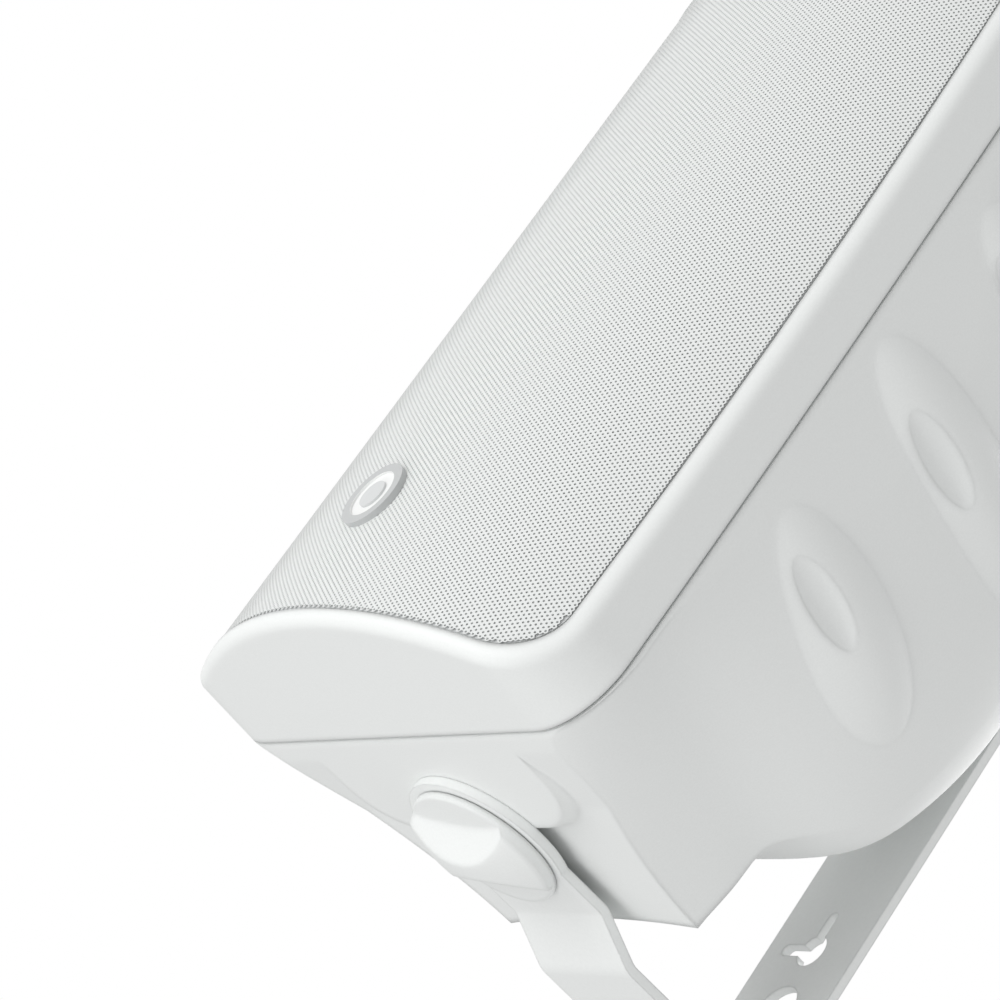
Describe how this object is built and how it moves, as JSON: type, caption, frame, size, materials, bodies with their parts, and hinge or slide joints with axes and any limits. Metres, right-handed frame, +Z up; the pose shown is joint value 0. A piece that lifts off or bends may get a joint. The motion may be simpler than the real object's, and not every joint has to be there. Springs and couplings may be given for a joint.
{
  "type": "outdoor patio speaker",
  "caption": "Weatherproof two-way patio speaker: arched steel grille in a moulded white cabinet that swivels in a U-shaped wall bracket clamped by hand knobs.",
  "frame": {"origin": "middle of the bracket's wall face, on the line between its two wall screws", "axes": "+Z up along the swivel axis, the grille faces -Y, +Y points into the wall, +X to the right seen from the front"},
  "size_m": [0.1994, 0.1982, 0.2972],
  "materials": {
    "white_plastic": "moulded, UV-stable white polypropylene with a fine texture",
    "white_steel": "white powder coat on steel",
    "badge_metal": "satin anodised",
    "zinc_steel": "zinc plated",
    "plain_steel": "plain low-carbon steel",
    "brass": "machined",
    "black_rubber": "matt",
    "cone_plastic": "moulded polypropylene",
    "weave": "resin-dipped cotton",
    "silk": "coated silk",
    "coil": "wire on an aluminium former",
    "ferrite": "sintered ferrite",
    "black_steel": "black paint on pressed steel",
    "black_plastic": "moulded",
    "red_plastic": "moulded",
    "board": "glass-epoxy board",
    "copper_winding": "enamelled wire",
    "film": "wrapped film",
    "ceramic": "cement body",
    "wadding": "polyester fibre"
  },
  "bodies": {
    "bracket": {"bracket": "white_steel"},
    "cabinet": {"rear_cabinet": "white_plastic", "front_frame": "white_plastic", "cabinet_gasket": "black_rubber", "cabinet_screws": "zinc_steel", "grille": "white_steel", "badge": "badge_metal", "badge_clip": "zinc_steel", "damping_pad": "wadding", "woofer_basket": "black_steel", "woofer_gasket": "black_rubber", "woofer_surround": "black_rubber", "woofer_spider": "weave", "woofer_front_plate": "plain_steel", "woofer_magnet": "ferrite", "woofer_yoke": "plain_steel", "woofer_screws": "zinc_steel", "tweeter_faceplate": "black_plastic", "tweeter_suspension": "silk", "tweeter_front_plate": "plain_steel", "tweeter_magnet": "ferrite", "tweeter_yoke": "plain_steel", "tweeter_screws": "zinc_steel", "crossover_board": "board", "crossover_inductor": "copper_winding", "crossover_capacitors": "film", "crossover_resistor": "ceramic", "crossover_screws": "zinc_steel", "terminal_cup": "black_plastic", "terminal_contacts": "brass", "terminal_screws": "zinc_steel", "pivot_insert_lower": "brass", "pivot_insert_upper": "brass"},
    "woofer_diaphragm": {"woofer_cone": "cone_plastic", "woofer_dust_cap": "cone_plastic", "woofer_voice_coil": "coil"},
    "tweeter_diaphragm": {"tweeter_dome": "silk", "tweeter_voice_coil": "coil"},
    "lever_black": {"terminal_lever_black": "black_plastic"},
    "lever_red": {"terminal_lever_red": "red_plastic"},
    "washer_lower": {"knob_washer_lower": "zinc_steel"},
    "knob_lower": {"clamp_knob_lower": "white_plastic", "knob_stud_lower": "zinc_steel"},
    "washer_upper": {"knob_washer_upper": "zinc_steel"},
    "knob_upper": {"clamp_knob_upper": "white_plastic", "knob_stud_upper": "zinc_steel"}
  },
  "joints": [
    {"name": "swivel", "type": "hinge", "parent": "bracket", "child": "cabinet", "pos_m": [0, -0.109, 0], "axis": [0, 0, 1], "range_deg": [-100, 100]},
    {"name": "woofer_stroke", "type": "slide", "parent": "cabinet", "child": "woofer_diaphragm", "axis": [0, -1, 0], "range_m": [-0.004, 0.004], "stiffness_N_per_m": 1400, "deforming": ["woofer_surround", "woofer_spider"]},
    {"name": "tweeter_stroke", "type": "slide", "parent": "cabinet", "child": "tweeter_diaphragm", "axis": [0, -1, 0], "range_m": [-0.0003, 0.0003], "stiffness_N_per_m": 1500, "deforming": ["tweeter_suspension"]},
    {"name": "knob_lower_travel", "type": "slide", "parent": "cabinet", "child": "washer_lower", "axis": [0, 0, -1], "range_m": [0, 0.0025]},
    {"name": "knob_lower_turn", "type": "hinge", "parent": "washer_lower", "child": "knob_lower", "pos_m": [0, -0.109, 0], "axis": [0, 0, -1], "range_deg": [0, 720]},
    {"name": "knob_upper_travel", "type": "slide", "parent": "cabinet", "child": "washer_upper", "axis": [0, 0, 1], "range_m": [0, 0.0025]},
    {"name": "knob_upper_turn", "type": "hinge", "parent": "washer_upper", "child": "knob_upper", "pos_m": [0, -0.109, 0], "axis": [0, 0, 1], "range_deg": [0, 720]},
    {"name": "lever_black_push", "type": "hinge", "parent": "cabinet", "child": "lever_black", "pos_m": [0, -0.0705, -0.12], "axis": [1, 0, 0], "range_deg": [0, 25], "stiffness_Nm_per_rad": 0.05},
    {"name": "lever_red_push", "type": "hinge", "parent": "cabinet", "child": "lever_red", "pos_m": [0, -0.0705, -0.12], "axis": [1, 0, 0], "range_deg": [0, 25], "stiffness_Nm_per_rad": 0.05}
  ],
  "couplings": [
    {"joint": "knob_lower_turn", "follows": "knob_lower_travel", "rad_per_m": 5026.5},
    {"joint": "knob_upper_turn", "follows": "knob_upper_travel", "rad_per_m": 5026.5}
  ]
}
